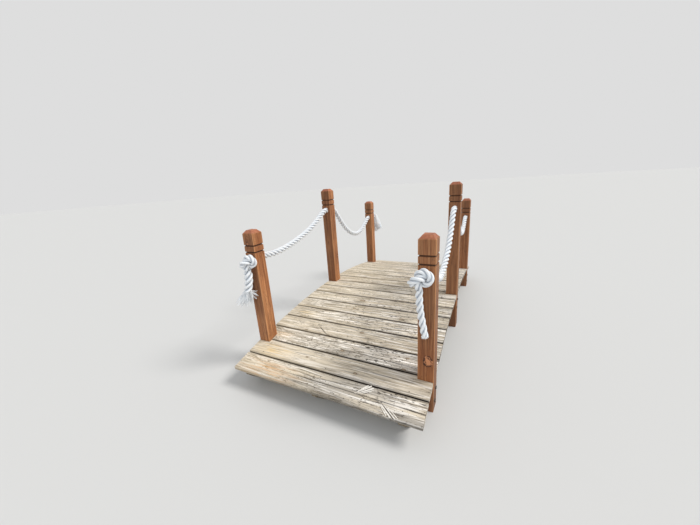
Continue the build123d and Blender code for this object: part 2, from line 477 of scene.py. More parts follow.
def aged_colour(grain, tints):
    """Pale and tan patches, gone silver in places and where the piece is silvered."""
    patches = streaky(grain, 1.5, 9.0, detail=3)
    colour = blend(between(patches, 0.36, 0.64), tints["pale"], tints["tan"])
    silver = streaky(grain, 2.2, 13.0, detail=4, roughness=0.6) + attribute(grain.tree, "silver")
    return blend(between(silver, 0.46, 0.72) * tints["silvering"], colour, tints["silver"])


def streaked(colour, bent, wear, tints):
    """Bleached and sooty streaks along the grain, stronger where the piece is worn."""
    run = tints["run"]
    bleached = between(streaky(bent, 3.6 * run, 84.0, detail=3), 0.50, 0.62) * (wear * 0.4 + 0.6)
    colour = blend(bleached * tints["bleaching"], colour, tints["bleached"])
    sooty = streaky(bent, 4.4 * run, 104.0, detail=4, roughness=0.62)
    sooty = between(sooty, 0.51, 0.62) * (wear * 0.25 + 0.72)
    return blend(sooty * tints["sooting"], colour, tints["sooty"])


def pitted(colour, grain, wear, tints):
    """Dark dashes where fibres have split, in crowds, and specks."""
    dashes = between(streaky(grain, 34.0, 180.0), 0.57, 0.64)
    crowds = between(streaky(grain, 4.5, 20.0), 0.46, 0.58)
    specks = between(streaky(grain, 84.0, 130.0, detail=1) + wear * 0.020, 0.695, 0.75)
    pits = (dashes * crowds).calc("MAXIMUM", specks) * (wear * tints["dashing"])
    return blend(pits, colour, tints["crack"])


def knotted(colour, grain, knot_distance, tints):
    """Knots with a dark rim and rings, in a halo of dense wood."""
    rings = (knot_distance * 24.0).calc("SINE") * 0.16
    rim = between(knot_distance + rings, 0.52, 0.80)
    gaps = between(streaky(grain, 40.0, 60.0, detail=1), *tints["knot_gaps"])
    eye = blend(rim * gaps, tints["knot_ring"], tints["knot"])
    halo = between(knot_distance, 3.2, 0.9) * 0.35
    return blend(between(knot_distance, 1.20, 0.92), blend(halo, colour, tints["late"]), eye)


def hair_cracks(grain):
    """Thin broken lines along the grain."""
    line = (streaky(grain, 2.4, 95.0, detail=1) - 0.5).calc("ABSOLUTE")
    return between(line, 0.013, 0.0) * between(streaky(grain, 3.5, 14.0), 0.49, 0.57)


def wood(grain, tints, knot_distance, ring_width):
    """Growth rings, fibres, streaks, knots and fine checks: the colour, and the height of the surface."""
    tree = grain.tree
    wear = attribute(tree, "wear")
    bent = wandering(grain)
    late = late_wood(grain, bent, knot_distance, ring_width)
    fibres = streaky(grain, 16.0, 620.0, detail=3, roughness=0.65)
    threads = streaky(grain, 5.0, 150.0)
    hair = hair_cracks(grain)
    colour = aged_colour(grain, tints)
    colour = blend(late * tints["ring_strength"], colour, tints["late"])
    colour = blend(between(threads, 0.52, 0.75), colour, tints["thread"])
    colour = streaked(colour, bent, wear, tints)
    colour = blend(1.0, colour, blend(fibres, tints["fibre_dark"], (1.10, 1.10, 1.10, 1)), "MULTIPLY")
    colour = pitted(colour, grain, wear, tints)
    colour = knotted(colour, grain, knot_distance, tints)
    colour = blend(hair * 0.75, colour, tints["crack"])
    tone = attribute(tree, "tone") + (streaky(grain, 2.6, 8.0, detail=3) * 0.50 + 0.77)
    colour = blend(1.0, colour, tone, "MULTIPLY")
    # painted shade in cracks, grooves, torn recesses and the gaps between boards, and grime along the joints and the
    # first board's front edge
    colour = blend(attribute(tree, "hollow"), colour, tints["crack"])
    return colour, late * 0.5 + fibres * 0.35 - hair * 0.9 + threads * 0.3


# Finishes

# Honey-coloured stains on the deck: middle, how far they reach, how strong they are, and their colour
honey_stains = [
    ((-0.38, -1.262), 0.34, 0.52, paint(224, 172, 112)),
    ((-0.44, -1.115), 0.20, 0.55, paint(238, 200, 124)),
    ((-0.42, -0.682), 0.18, 0.55, paint(240, 206, 132)),
    ((-0.50, -0.955), 0.16, 0.35, paint(230, 190, 130)),
]


def weathered_pine():
    """Bare deck boards gone pale and silver, with painted sunlight making the left paler and yellower, and stains near
    the front left.
    """
    finish, tree = new_finish("weathered_pine")
    grain = attribute(tree, "grain", "Vector")
    place = place_on(tree)
    colour, height = wood(grain, weathered_tints, nearest_knot(tree, deck_knots, deck_squash), 0.0062)
    # painted sunlight: a pale yellow wash over the left of the deck, as if the sun fell there
    painted_sunlight = between(parts_of(place)[0], 0.25, -0.60, smooth=False)
    colour = blend(painted_sunlight * 0.30, colour, paint(240, 222, 188))
    drip = between(streaky(grain, 4.0, 88.0, detail=3), 0.44, 0.62)
    for (x, y), reach, share, tint in honey_stains:
        apart = (place * (1.0, 3.0, 0.0)).calc("DISTANCE", (x, 3.0 * y, 0.0))
        colour = blend(between(apart, reach, reach * 0.2) * drip * share, colour, tint)
    return coat(finish, colour, height, 0.0012, {"Roughness": 0.86, "Specular IOR Level": 0.25})


def stained_cedar():
    """Orange-brown stained cedar: redder on the cap, where end grain soaks up more and its top is painted as if
    sunlit; painted highlights along the arrises, with some wear; painted shade low down, where the foot stands under
    the deck, with a little grime.
    """
    finish, tree = new_finish("stained_cedar")
    grain = attribute(tree, "grain", "Vector")
    colour, height = wood(grain, cedar_tints, nearest_knot(tree, post_knots, post_squash), 0.0042)
    # the cap: partly end grain that soaks up more, partly painted sunlight on its top
    colour = blend(attribute(tree, "soaked") * 0.40, colour, paint(194, 116, 94))
    # painted highlight on the arrises, partly where the finish is worn thin
    colour = blend(attribute(tree, "rubbed") * 0.55, colour, paint(222, 164, 114))
    # painted shade on the foot of each post, under the deck
    shade_at_foot = between(parts_of(place_on(tree))[2], 0.22, 0.04)
    colour = blend(shade_at_foot * 0.40, colour, paint(84, 54, 38))
    return coat(finish, colour, height, 0.0007, {"Roughness": 0.62, "Specular IOR Level": 0.35})


def frame_timber(name, along):
    """Rough structural timber under the deck, with its grain along X or Y."""
    finish, tree = new_finish(name)
    x, y, z = parts_of(place_on(tree))
    first, second = (x, y) if along == "X" else (y, x)
    heart_aside, heart_below = 0.03, 0.09
    inputs = {"X": first, "Y": second + heart_aside, "Z": z + heart_below}
    grain = add(tree, "ShaderNodeCombineXYZ", "Vector", inputs)
    colour, height = wood(grain, frame_tints, nearest_knot(tree, deck_knots, deck_squash), 0.0060)
    return coat(finish, colour, height, 0.0012, {"Roughness": 0.88, "Specular IOR Level": 0.2})


def fresh_torn_wood():
    """Bright inner wood where slivers have lifted from the first board."""
    finish, tree = new_finish("fresh_torn_wood")
    strands = cloudy(place_on(tree) * (90.0, 260.0, 260.0), detail=3)
    colour = blend(between(strands, 0.3, 0.7), paint(255, 252, 246), paint(226, 219, 208))
    return coat(finish, colour, strands, 0.0006, {"Roughness": 0.8})


def white_rope(name, yarns, groove_shade_strength):
    """White laid rope: yarns run along each strand, with painted bluish shade in the hollows between yarns and in the
    grooves between strands.
    """
    finish, tree = new_finish(name)
    yarn_turn = 0.055
    x, y, _ = parts_of(attribute(tree, "around", "Vector"))
    twist = attribute(tree, "along") * (2 * pi / yarn_turn) + y.calc("ARCTAN2", x)
    lines = (twist * yarns).calc("SINE") * 0.5 + 0.5
    place = place_on(tree)
    fuzz = cloudy(place, scale=900, detail=3, roughness=0.7)
    mottle = between(cloudy(place, scale=45, detail=3), 0.35, 0.70)
    colour = blend(mottle, paint(248, 250, 252), paint(234, 240, 246))
    # painted shade in the hollows between yarns
    colour = blend(lines * -0.16 + 0.16, colour, paint(176, 184, 192))
    # painted shade, bluish like skylit shade, in the grooves between strands
    groove_shade = between(attribute(tree, "crown"), 0.93, 0.58) * groove_shade_strength
    colour = blend(groove_shade, colour, paint(124, 137, 156))
    sheen = {"Sheen Weight": 0.25, "Sheen Roughness": 0.5}
    settings = {"Roughness": 0.78, "Specular IOR Level": 0.3, **sheen}
    return coat(finish, colour, lines * 0.7 + fuzz * 0.5, 0.0009, settings)


def dull_zinc():
    """Weathered zinc coating on screws and bolts."""
    finish, tree = new_finish("dull_zinc")
    bloom = cloudy(place_on(tree), scale=380, detail=4, roughness=0.65)
    colour = blend(between(bloom, 0.35, 0.65), paint(96, 90, 82), paint(60, 50, 42))
    return coat(finish, colour, bloom, 0.0003, {"Metallic": 0.6, "Roughness": 0.55})


# Shared ways of making and placing pieces


def show(name, mesh, finish, slot_name, *nodes):
    """A finished piece: its material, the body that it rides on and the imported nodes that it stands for."""
    piece = loose_object(name, mesh)
    mesh.materials.clear()
    mesh.materials.append(finish)
    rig.ride(piece, "root")
    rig.slot(piece, slot_name)
    if nodes:
        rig.replaces(piece, *nodes)
    return piece


def loose_object(name, data):
    made = bpy.data.objects.new(name, data)
    bpy.context.scene.collection.objects.link(made)
    return made


def plain_mesh(source):
    """The finished mesh of an object with its modifiers, and the object gone."""
    view = bpy.context.evaluated_depsgraph_get()
    finished = source.evaluated_get(view)
    mesh = bpy.data.meshes.new_from_object(finished, preserve_all_data_layers=True, depsgraph=view)
    bpy.data.objects.remove(source)
    return mesh


def mesh_of(bm):
    mesh = bpy.data.meshes.new("made")
    bm.to_mesh(mesh)
    bm.free()
    return mesh


def tidy_mesh(mesh, sharp=35):
    """Faces outward and soft shading up to a sharp corner."""
    bm = bmesh.new()
    bm.from_mesh(mesh)
    holes = [edge for edge in bm.edges if edge.is_boundary]
    if holes:
        bmesh.ops.holes_fill(bm, edges=holes, sides=0)
    bmesh.ops.recalc_face_normals(bm, faces=bm.faces)
    bm.to_mesh(mesh)
    bm.free()
    mesh.shade_smooth()
    mesh.set_sharp_from_angle(angle=radians(sharp))
    return mesh


def cut(mesh, cutter, name):
    """The mesh with the cutter's shape taken out of it."""
    source = loose_object(name, mesh)
    knife = loose_object("cutter", cutter)
    modifier = source.modifiers.new("cut", "BOOLEAN")
    modifier.object = knife
    modifier.operation = "DIFFERENCE"
    modifier.solver = "EXACT"
    made = plain_mesh(source)
    bpy.data.objects.remove(knife)
    return made


def store(mesh, name, values):
    """A number for each point of a mesh, which its finish reads."""
    mesh.attributes.new(name, "FLOAT", "POINT").data.foreach_set("value", values)


def tree_with(name, inputs):
    """A Geometry Nodes tree and the wires of its named inputs: numbers, whole numbers or a finish."""
    tree = bpy.data.node_groups.new(name, "GeometryNodeTree")
    tree.interface.new_socket("Geometry", in_out="INPUT", socket_type="NodeSocketGeometry")
    kinds = {float: "NodeSocketFloat", int: "NodeSocketInt", type(None): "NodeSocketMaterial"}
    for label, value in inputs.items():
        socket = tree.interface.new_socket(label, in_out="INPUT", socket_type=kinds[type(value)])
        if value is not None:
            socket.default_value = value
    tree.interface.new_socket("Geometry", in_out="OUTPUT", socket_type="NodeSocketGeometry")
    given = tree.nodes.new("NodeGroupInput")
    return tree, {output.name: Wire(output) for output in given.outputs}


def end_tree(tree, geometry, finish):
    """Realize Instances and Set Material, which every tree ends in."""
    inputs = {"Geometry": real(geometry), "Material": finish}
    painted = add(tree, "GeometryNodeSetMaterial", "Geometry", inputs)
    tree.links.new(painted.output, tree.nodes.new("NodeGroupOutput").inputs[0])
    return tree


def real(instances):
    return add(instances.tree, "GeometryNodeRealizeInstances", "Geometry", {"Geometry": instances})


def named(geometry, name, value, kind="FLOAT"):
    """The geometry with a value stored on each point."""
    inputs = {"Geometry": geometry, "Name": name, "Value": value}
    settings = {"data_type": kind, "domain": "POINT"}
    return add(geometry.tree, "GeometryNodeStoreNamedAttribute", "Geometry", inputs, **settings)


def read(tree, name, kind="FLOAT"):
    return add(tree, "GeometryNodeInputNamedAttribute", "Attribute", {"Name": name}, data_type=kind)


def ring_curve(tree, points, radius):
    return add(tree, "GeometryNodeCurvePrimitiveCircle", "Curve", {"Resolution": points, "Radius": radius})


def on_points(points, instance, **inputs):
    """The instance on each of the points."""
    inputs = {"Points": points, "Instance": instance, **inputs}
    return add(points.tree, "GeometryNodeInstanceOnPoints", "Instances", inputs)


def swept(rail, profile, **inputs):
    """The closed mesh of a profile swept along a curve."""
    inputs = {"Curve": rail, "Profile Curve": profile, "Fill Caps": True, **inputs}
    return add(rail.tree, "GeometryNodeCurveToMesh", "Mesh", inputs)


def grown(base, tree, values):
    """The mesh that a Geometry Nodes tree grows on a base mesh, with its named inputs set."""
    source = loose_object("growing", base)
    modifier = source.modifiers.new("grow", "NODES")
    modifier.node_group = tree
    for item in tree.interface.items_tree:
        if item.item_type == "SOCKET" and item.in_out == "INPUT" and item.name in values:
            modifier[item.identifier] = values[item.name]
    return plain_mesh(source)


# Timber

closed_crack = 0.0002  # half the width of a crack where it is shut, so that every section has the same points
arris_steps = 4
arris_wander = 0.0012


def ripple(x, y, z):
    """Smooth noise about 0."""
    return noise.noise(Vector((x, y, z)))


def ramp(value, length):
    """From 0 to 1 over a length."""
    return max(0.0, min(1.0, value / length))


def opening(crack, along):
    """How open a crack is at a point of its length: 0 at its ends and beyond, up to 1."""
    start, end = crack["span"]
    shut_from, shut_to = crack.get("shut", (end, end))
    if not start < along < end or shut_from < along < shut_to:
        return 0.0
    taper = min(1.0, (along - start) / crack["taper"][0], (end - along) / crack["taper"][1])
    ragged = 0.75 + 0.5 * ripple(along * 14, crack["seed"], 2.0)
    return taper**0.6 * min(1.0, max(crack.get("least", 0.25), ragged))


def crack_place(crack, length, along):
    """Where a crack runs across its face: at its share of the width, or on its own path."""
    place = crack["place"] * length
    if "path" in crack:
        place = float(np.interp(along, *zip(*crack["path"])))
    return place + crack["wander"] * ripple(along * crack["sway"], crack["seed"], 0.5)


def face_points(length, parts, cracks, along, lift):
    """Points across one face of a section, each (place, height, hollow), with three for each crack."""
    marks = [(crack_place(crack, length, along), opening(crack, along), crack) for crack in cracks]
    stops = [-length / 2] + [place for place, _, _ in marks] + [length / 2]
    shares = [-0.5] + [crack["place"] for crack in cracks] + [0.5]
    points = [(-length / 2, lift(-length / 2), 0.0)]
    for index, (low, high) in enumerate(zip(stops, stops[1:])):
        steps = max(2, round((shares[index + 1] - shares[index]) * parts))
        for step in range(1, steps):
            place = low + (high - low) * step / steps
            points.append((place, lift(place), 0.0))
        if index < len(marks):
            place, open_share, crack = marks[index]
            half = max(closed_crack, crack["width"] * open_share / 2)
            level = lift(place)
            # painted shade in the crack, darkest at its bottom
            stain = min(1.0, open_share * 1.6)
            points += [
                (place - half, level, 0.35 * stain),
                (place, level - crack["depth"] * open_share, stain),
                (place + half, level, 0.35 * stain),
            ]
    points.append((length / 2, lift(length / 2), 0.0))
    return points


def timber_ring(width, depth, arris, faces, along, scale=1.0):
    """One section of a squared timber, from its low face round: its points, with rounded arrises, and how dark
    each is painted: shade in cracks and on faces the light doesn't reach, and grime."""
    ring, shades = [], []
    outward = [Vector((0, -1)), Vector((1, 0)), Vector((0, 1)), Vector((-1, 0))]
    for index, face in enumerate(faces):
        after = (index + 1) % len(faces)
        out, run = outward[index], outward[after]
        half, length = (width / 2, depth) if index % 2 else (depth / 2, width)
        flat = length - 2 * arris
        lift = face["lift"](along)
        for place, height, hollow in face_points(flat, face["parts"], face["cracks"], along, lift):
            ring.append((out * (half + height) + run * place) * scale)
            shades.append(max(hollow, face["stain"]))
        corner = out * (half - arris) + run * (flat / 2)
        for step in range(1, arris_steps):
            turn = pi / 2 * step / arris_steps
            ring.append((corner + out * (arris * cos(turn)) + run * (arris * sin(turn))) * scale)
            share = step / arris_steps
            shades.append(face["stain"] * (1 - share) + faces[after]["stain"] * share)
    return ring, shades


def timber_mesh(rings, shades):
    """A closed mesh through the rings, with the 'hollow' attribute: how dark each point is painted, with shade in its
    cracks, grooves and gaps, and grime.
    """
    count = len(rings[0])
    points = [tuple(point) for ring in rings for point in ring]
    faces = [tuple(reversed(range(count))), tuple(range(len(points) - count, len(points)))]
    for low in range(0, len(points) - count, count):
        for index in range(count):
            after = (index + 1) % count
            faces.append((low + index, low + after, low + count + after, low + count + index))
    mesh = bpy.data.meshes.new("timber")
    mesh.from_pydata(points, [], faces)
    mesh.update()
    store(mesh, "hollow", [shade for row in shades for shade in row])
    return mesh


def lay_grain(mesh, to_log, silver, tone, wear):
    """Stores each point's place in the log, and how silvered, light and pitted the timber is."""
    turn = np.array(to_log)
    places = np.zeros(len(mesh.vertices) * 3)
    mesh.vertices.foreach_get("co", places)
    places = places.reshape(-1, 3) @ turn[:3, :3].T + turn[:3, 3]
    mesh.attributes.new("grain", "FLOAT_VECTOR", "POINT").data.foreach_set("vector", places.ravel())
    for name, value in (("silver", silver), ("tone", tone), ("wear", wear)):
        store(mesh, name, np.full(len(mesh.vertices), value))


def random_crack(chance, span, place, depth, width):
    """A drying crack of a plain kind, for the faces that the photograph doesn't show closely."""
    middle = chance.uniform(*span)
    half = chance.uniform(0.08, 0.28)
    return {
        "span": (middle - half, middle + half), "taper": (half * 0.8, half * 0.8), "place": place,
        "wander": 0.003, "sway": 3.0, "depth": depth * chance.uniform(0.6, 1.2),
        "width": width * chance.uniform(0.6, 1.2), "seed": chance.uniform(0, 90),
    }


def worn_face(parts, seed, amount, chips=(), cracks=(), stain=0.0):
    """A weathered face of a timber: how many parts it is drawn in, its small hollows, the chips out of it,
    each (middle, half length, bite), its cracks and how dark it is."""

    def lift(along):
        bite = 0.0
        for middle, half, deep in chips:
            near = 1 - abs(along - middle) / half
            if near > 0:
                bite += deep * near**0.7 * (0.7 + 0.5 * ripple(along * 60, seed, 9.0))

        def at(place):
            return -amount * (0.5 + 0.5 * ripple(along * 7, place * 30, seed)) - bite

        return at

    return {"parts": parts, "lift": lift, "cracks": cracks, "stain": stain}


# Deck boards

split_board_crack = {
    "span": (-0.43, 0.70), "taper": (0.5, 0.001), "place": 0.02, "wander": 0.005, "sway": 1.6,
    "depth": 0.011, "width": 0.0050, "seed": 3.0, "least": 0.6,
}
# Cracks of the third and fourth boards that turn aside round knots: "path" is along and across, in metres
third_board_crack = {
    "span": (-0.18, 0.70), "taper": (0.02, 0.001), "place": -0.10, "wander": 0.003, "sway": 6.0,
    "depth": 0.008, "width": 0.0062, "seed": 21.0, "least": 0.72, "shut": (-0.085, 0.0),
    "path": (
        (-0.169, -0.043), (-0.148, -0.012), (-0.129, 0.008), (-0.090, 0.032), (0.0, -0.014),
        (0.058, -0.020), (0.185, -0.020), (0.289, -0.026), (0.417, -0.031), (0.6, -0.034),
    ),
}
fourth_board_fork = {
    "span": (-0.262, -0.150), "taper": (0.02, 0.02), "place": -0.20, "wander": 0.002, "sway": 8.0,
    "depth": 0.008, "width": 0.0078, "seed": 34.0, "least": 0.85,
    "path": ((-0.256, 0.004), (-0.227, -0.015), (-0.189, -0.043), (-0.160, -0.060)),
}
split_board_chips = [(0.05, 0.07, 0.005), (0.155, 0.04, 0.0035), (0.30, 0.05, 0.003), (-0.35, 0.05, 0.002)]

# How silvered, how light and how pitted the nearest boards are
board_weather = {
    1: (0.08, 0.04, 0.9), 2: (-0.03, 0.02, 0.25), 3: (0.18, 0.14, 1.5),
    4: (-0.04, -0.03, 0.8), 5: (0.06, 0.07, 1.3), 6: (-0.02, -0.02, 1.0), 7: (0.02, 0.05, 1.3),
}

# Torn places of the first board: tip and open end, each along and across the board, and width
torn_recesses = [
    ((0.226, -0.002), (0.346, 0.070), 0.040),
    ((0.372, -0.008), (0.446, -0.074), 0.013),
    ((0.392, -0.006), (0.484, -0.074), 0.014),
]
# Splinters standing in them: tip, end, width and how far the end is raised
torn_splinters = [
    ((0.232, 0.002), (0.312, 0.068), 0.0135, 0.0065),
    ((0.240, 0.000), (0.328, 0.060), 0.0120, 0.0045),
    ((0.236, 0.006), (0.292, 0.069), 0.0080, 0.0030),
    ((0.252, 0.000), (0.332, 0.046), 0.0060, 0.0050),
    ((0.376, -0.006), (0.440, -0.066), 0.0060, 0.0030),
    ((0.384, -0.006), (0.464, -0.071), 0.0085, 0.0040),
    ((0.398, -0.004), (0.486, -0.070), 0.0065, 0.0030),
    ((0.404, 0.000), (0.500, -0.064), 0.0050, 0.0018),
]


def board_cracks(number, chance):
    """Lengthwise cracks in a board's walking surface, from its front edge to its back."""
    if number == 1:
        front = random_crack(chance, (-0.3, 0.3), -0.30, 0.004, 0.0014)
        return [front, split_board_crack, random_crack(chance, (-0.1, 0.4), 0.31, 0.004, 0.0014)]
    if number == 3:
        return [third_board_crack]
    if number == 4:
        return [fourth_board_fork, random_crack(chance, (0.0, 0.5), 0.30, 0.0045, 0.0016)]
    places = [-0.30, 0.02, 0.30]
    chance.shuffle(places)
    count = chance.choice((1, 2, 2, 3))
    return [
        random_crack(chance, (-0.6, 0.6), place + chance.uniform(-0.08, 0.08), 0.0045, 0.0016)
        for place in sorted(places[:count])
    ]


def turned_over(crack):
    """The same crack with its places across the board counted from the other edge."""
    crack = dict(crack, place=-crack["place"])
    if "path" in crack:
        crack["path"] = [(along, -across) for along, across in crack["path"]]
    return crack


def board_matrix(number):
    """From a board's own axes (along, across, up from its top) to its place on the arch."""
    angle = (number - (board_count + 1) / 2) * board_pitch / deck_radius
    turn = Matrix.Rotation(-angle, 4, "X")
    return Matrix.Translation((0, deck_radius * sin(angle), arch_centre_z + deck_radius * cos(angle))) @ turn


def notch_cutter():
    """The six square holes that the posts pass through."""
    bm = bmesh.new()
    for side in sides.values():
        for y in stations.values():
            size = Matrix.Diagonal((notch_width, notch_width, 1.2, 1))
            bmesh.ops.create_cube(bm, size=1.0, matrix=Matrix.Translation((side * post_x, y, 0.5)) @ size)
    return mesh_of(bm)


def closed_tube(bm, rings):
    """Faces round a row of rings, and one over each end."""
    for low, high in zip(rings, rings[1:]):
        for index in range(len(low)):
            after = (index + 1) % len(low)
            bm.faces.new((low[index], low[after], high[after], high[index]))
    bm.faces.new(reversed(rings[0]))
    bm.faces.new(rings[-1])


def sliver(bm, start, end, width, thickness, rise):
    """A splinter from a pointed start to a blunt raised end."""
    side = (end - start).normalized().cross(Vector((0, 0, 1))).normalized()
    rings = []
    steps = 8
    for step in range(steps + 1):
        share = step / steps
        full = max(0.06, min(1.0, share * 1.5)) ** 0.8 * (1.0 if share < 0.9 else 0.7)
        middle = start.lerp(end, share) + Vector((0, 0, rise * share**1.5))
        half, top = width / 2 * full, thickness * full
        corners = ((-half, 0), (-half * 0.5, top), (half * 0.5, 0.8 * top), (half, 0), (0, -top))
        rings.append([bm.verts.new(middle + side * s + Vector((0, 0, h))) for s, h in corners])
    closed_tube(bm, rings)


def recess_cutter(matrix):
    """Wedges, shallow at their tips and deep at their open ends."""
    bm = bmesh.new()
    for tip, end, width in torn_recesses:
        tip, end = Vector((*tip, 0.0)), Vector((*end, 0.0))
        side = (end - tip).cross(Vector((0, 0, 1))).normalized() * width / 2
        shallow, deep, above = Vector((0, 0, -0.0012)), Vector((0, 0, -0.0058)), Vector((0, 0, 0.02))
        low = [tip + shallow, end + side + deep, end - side + deep]
        high = [tip - (end - tip) * 0.05 + above, end + side * 1.1 + above, end - side * 1.1 + above]
        closed_tube(bm, [[bm.verts.new(matrix @ point) for point in ring] for ring in (low, high)])
    bmesh.ops.recalc_face_normals(bm, faces=bm.faces)
    mesh = mesh_of(bm)
    # painted shade in the torn recesses, carried onto the faces that the cut leaves
    store(mesh, "hollow", [0.62] * len(mesh.vertices))
    return mesh


def splinters(matrix):
    """The slivers that still stand in the torn places."""
    bm = bmesh.new()
    for tip, end, width, rise in torn_splinters:
        sliver(bm, matrix @ Vector((*tip, -0.0010)), matrix @ Vector((*end, -0.0030)), width, 0.0026, rise)
    bmesh.ops.recalc_face_normals(bm, faces=bm.faces)
    return mesh_of(bm)


def joint_shade_and_grime(point, number):
    """How dark a point of a board's section is painted along the joints between the boards: shade from the gaps, and
    grime.
    """
    if point.y < 0 or (number == 1 and point.x < 0):
        return 0.0
    return 0.5 * ramp(abs(point.x) - board_width / 2 + 0.008, 0.005)


def front_dirt(along, across):
    """The first board's front edge is worn brown: how dirty a place on it is."""
    inward = (across + board_width / 2) / 0.045
    patch = 0.75 + 0.6 * ripple(along * 5, across * 20, 3.0)
    return max(0.0, 0.46 * patch * (1 - inward) * (0.6 + 0.4 * min(1.0, (along + 0.7) / 0.5)))


def board_faces(number, chance, chips):
    """A board's underside, back edge, top and front edge."""
    # Both edges stand in the gaps between boards: their darkness is painted shade, with some grime; the first board's
    # open front edge is painted less dark
    faces = [
        worn_face(7, chance.uniform(0, 99), 0.0006),
        worn_face(3, chance.uniform(0, 99), 0.0009, stain=1.0),
        worn_face(18, chance.uniform(0, 99), 0.0009),
        worn_face(3, chance.uniform(0, 99), 0.0010, chips, stain=0.55 if number == 1 else 1.0),
    ]
    faces[2]["cracks"] = [turned_over(crack) for crack in reversed(board_cracks(number, chance))]
    return faces


def board_sections(number, faces, low, high):
    """The sections of a board from end to end, and how dark each of their points is painted, with shade and grime."""
    end_bevel, end_run, count, end_scale = 0.0012, 0.008, 118, 0.992
    between_ends = np.linspace(low + end_run, high - end_run, count)
    rows = [low, low + end_bevel, *between_ends, high - end_bevel, high]
    rings, shades = [], []
    for x in rows:
        arris = board_arris + arris_wander * ripple(x * 9, number * 3.1, 0)
        scale = end_scale if x in (low, high) else 1.0
        ring, shade = timber_ring(board_width, board_thickness, arris, faces, x, scale)
        rings.append([Vector((x, p.x, p.y - board_thickness / 2)) for p in ring])
        front = [front_dirt(x, p.x) if number == 1 else 0.0 for p in ring]
        shades.append([max(value, joint_shade_and_grime(p, number), worn) for value, p, worn in zip(shade, ring, front)])
    return rings, shades


def board_log(number, chance):
    """From a board's own axes to the log that it was sawn from."""
    across, up = chance.uniform(-0.05, 0.05), chance.uniform(-0.11, -0.03)
    tip = Matrix.Rotation(chance.uniform(-0.025, 0.025), 4, "Y")
    tip = tip @ Matrix.Rotation(chance.uniform(-0.03, 0.03), 4, "Z")
    return Matrix.Translation((number * 3.7, across, -up)) @ tip


def board_look(number, chance):
    silver = chance.uniform(-0.10, 0.06)
    tone = chance.uniform(-0.09, 0.08) + 0.006 * number
    return board_weather.get(number, (silver, tone, chance.uniform(0.8, 1.4)))


def deck_board(number, finish):
    """One weathered board, cracked, chipped and notched, in its place on the arch."""
    chance = Random(100 + number)
    chips = split_board_chips
    if number != 1:
        chips = [(chance.uniform(-0.5, 0.5), 0.05, 0.0015) for _ in range(2)]
    low = -deck_width / 2 + chance.uniform(0, 0.002)
    high = deck_width / 2 - chance.uniform(0, 0.002)
    mesh = timber_mesh(*board_sections(number, board_faces(number, chance, chips), low, high))
    place = board_matrix(number)
    mesh.transform(place)
    tidy_mesh(mesh)
    if number in notched_boards:
        mesh = cut(mesh, notch_cutter(), "notched")
    if number == 1:
        mesh = cut(mesh, recess_cutter(place), "torn")
    lay_grain(mesh, board_log(number, chance) @ place.inverted(), *board_look(number, chance))
    node = f"deck_board_{number:02d}"
    return show(f"weathered_board_{number:02d}", tidy_mesh(mesh), finish, "weathered_pine", node)


# Posts

# Painted shade on the posts' near faces, which the key light doesn't reach
near_face_shade = {"near": 0.24, "mid": 0.44, "far": 0.36}  # how dark the face toward the near end is


def post_profile(height):
    """(height, width) pairs up a post: shaft, two grooves and the bevelled cap."""
    shoulder = height - cap_height
    floor_width = post_width - 2 * groove_depth
    pairs = [(0.0, post_width)]
    for drop in groove_drops:
        centre = shoulder - drop
        pairs += [
            (centre - groove_width / 2, post_width), (centre - groove_floor / 2, floor_width),
            (centre + groove_floor / 2, floor_width), (centre + groove_width / 2, post_width),
        ]
    return pairs + [(shoulder, post_width), (height, post_width - 2 * cap_bevel)]


def post_rows(height):
    """Heights and widths of the sections: even steps along the shaft, and three on each slope."""
    pairs = post_profile(height)
    rows = []
    for (low, first), (high, second) in zip(pairs, pairs[1:]):
        steps = max(1, round((high - low) / 0.014)) if first == second else 3
        for step in range(steps):
            rows.append((low + (high - low) * step / steps, first + (second - first) * step / steps))
    return rows + [pairs[-1]]


def hole_cutter(x, y, z):
    bm = bmesh.new()
    place = Matrix.Translation((x, y, z)) @ Matrix.Rotation(pi / 2, 4, "X")
    radius = hole_diameter / 2
    size = {"segments": 40, "radius1": radius, "radius2": radius, "depth": 0.2}
    bmesh.ops.create_cone(bm, cap_ends=True, matrix=place, **size)
    return mesh_of(bm)


def post_faces(side, chance, height):
    """A post's near, right, far and left faces."""
    faces = []
    for _ in range(4):
        cracks = []
        for place in (-0.24, 0.20):
            if chance.random() < 0.6:
                place += chance.uniform(-0.1, 0.1)
                cracks.append(random_crack(chance, (0.2, height), place, 0.005, 0.0013))
        faces.append(worn_face(7, chance.uniform(0, 99), 0.0007, cracks=cracks))
    # painted shade on the right posts' right faces
    if side == "right":
        faces[1]["stain"] = 0.40
    return faces


def near_face_shading(station, z, height):
    """How dark a post's near face is painted, as shade where the key light doesn't reach: more on its head, a painted
    shadow behind a near post's tail, less at its foot.
    """
    stain = near_face_shade[station]
    if z > height - cap_height - groove_drops[0]:
        stain += 0.12
    if station == "near":
        tail_shadow = max(0.0, 1 - abs(z - 0.60) / 0.26)
        stain += 0.24 * tail_shadow**0.7 - 0.12 * ramp(0.44 - z, 0.08)
    return stain


def groove_shading(z, width, shoulder):
    """Painted shade in the grooves: darkest at their bottom, and a little paler on their lower slopes, which face up
    into the light.
    """
    if z >= shoulder:
        return 0.0
    sunk = min(1.0, (post_width - width) / (2 * groove_depth))
    if sunk < 0.99 and any(0 < shoulder - drop - z < groove_width for drop in groove_drops):
        return 0.84 * min(1.0, 2.0 * sunk)
    return 0.96 * min(1.0, 1.1 * sunk)


